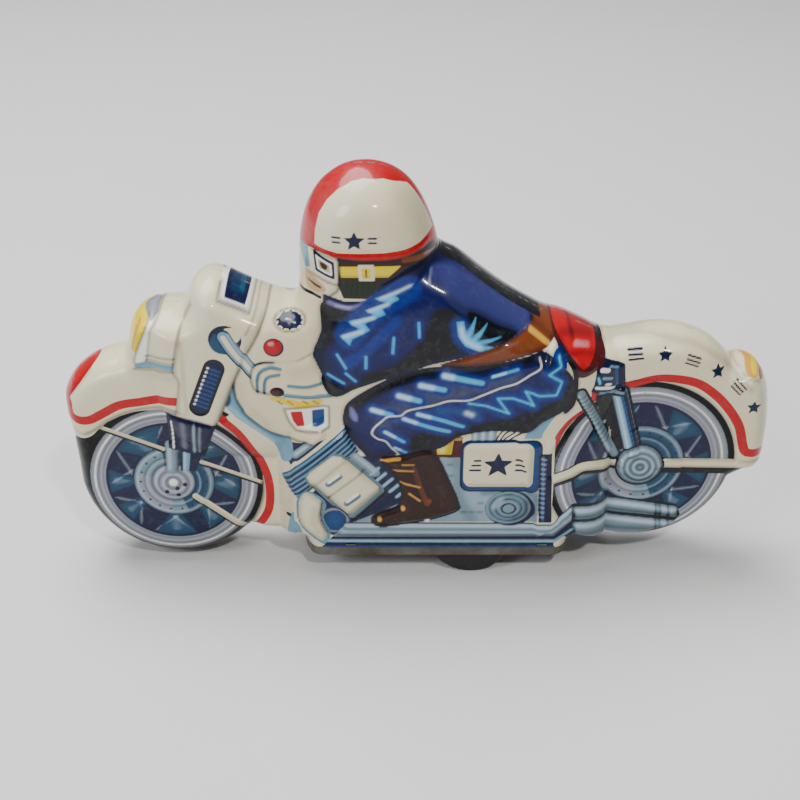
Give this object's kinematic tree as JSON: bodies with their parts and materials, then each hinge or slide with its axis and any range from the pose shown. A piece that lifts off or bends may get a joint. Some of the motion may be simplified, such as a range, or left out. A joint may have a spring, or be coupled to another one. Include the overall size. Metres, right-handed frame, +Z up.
{
  "type": "wind up tin toy motorcycle",
  "caption": "Wind-up tin motorcycle with a moulded-in rider: two printed shell halves over a base tray, a key-wound spring motor, rubber drive wheels and a front roller.",
  "frame": {"origin": "on the ground plane under the toy, on the seam plane of the two shells, midway between nose and tail", "axes": "+Z up, front of the toy towards -X, +Y to the rider's right-hand side, where the key is"},
  "size_m": [0.2096, 0.0501, 0.1278],
  "materials": {
    "printed_tin": "glossy lacquered tinplate printed in cream, red, navy, teal and grey",
    "tray_tin": "bare tinplate, slightly dulled",
    "bare_tin": "bare bright tinplate",
    "steel_wire": "drawn steel wire",
    "turned_steel": "turned mild steel, lightly oiled",
    "spring_steel": "blued spring steel",
    "motor_brass": "stamped brass, slightly tarnished",
    "eyelet_brass": "rolled brass eyelet",
    "key_plating": "nickel plated stamped steel",
    "black_rubber": "matte black rubber"
  },
  "bodies": {
    "root": {"left_shell": "printed_tin", "right_shell": "printed_tin", "base_tray": "tray_tin", "front_bracket": "bare_tin", "front_axle": "steel_wire", "motor_plate_left": "motor_brass", "motor_plate_right": "motor_brass", "frame_pillars": "turned_steel", "mainspring": "spring_steel", "key_eyelet": "eyelet_brass"},
    "roller": {"front_roller": "black_rubber"},
    "great": {"great_wheel": "motor_brass", "click_spring": "spring_steel", "click_rivet": "turned_steel"},
    "winding": {"winding_arbor": "turned_steel", "arbor_hook": "turned_steel", "arbor_collar": "turned_steel", "ratchet_wheel": "turned_steel", "key_barrel": "key_plating", "key_wings": "key_plating"},
    "second": {"second_arbor": "turned_steel", "second_pinion": "turned_steel", "second_wheel": "motor_brass"},
    "drive": {"drive_axle": "turned_steel", "drive_pinion": "turned_steel", "axle_collars": "turned_steel", "drive_hub_left": "bare_tin", "drive_hub_right": "bare_tin", "drive_tyre_left": "black_rubber", "drive_tyre_right": "black_rubber"}
  },
  "joints": [
    {"name": "front_roller_spin", "type": "hinge", "parent": "root", "child": "roller", "pos_m": [-0.0735, 0, 0.006], "axis": [0, 1, 0], "continuous": true},
    {"name": "drive_turn", "type": "hinge", "parent": "root", "child": "drive", "pos_m": [0.0164, 0, 0.0123], "axis": [0, 1, 0], "continuous": true},
    {"name": "second_turn", "type": "hinge", "parent": "root", "child": "second", "pos_m": [0.0165, 0, 0.02435], "axis": [0, 1, 0], "continuous": true},
    {"name": "great_wheel_turn", "type": "hinge", "parent": "root", "child": "great", "pos_m": [0.03, 0, 0.031], "axis": [0, 1, 0], "continuous": true},
    {"name": "key_wind", "type": "hinge", "parent": "great", "child": "winding", "pos_m": [0.03, 0, 0.031], "axis": [0, 1, 0], "continuous": true}
  ],
  "couplings": [
    {"joint": "second_turn", "follows": "drive_turn", "ratio": -0.33333},
    {"joint": "great_wheel_turn", "follows": "drive_turn", "ratio": 0.083333}
  ]
}
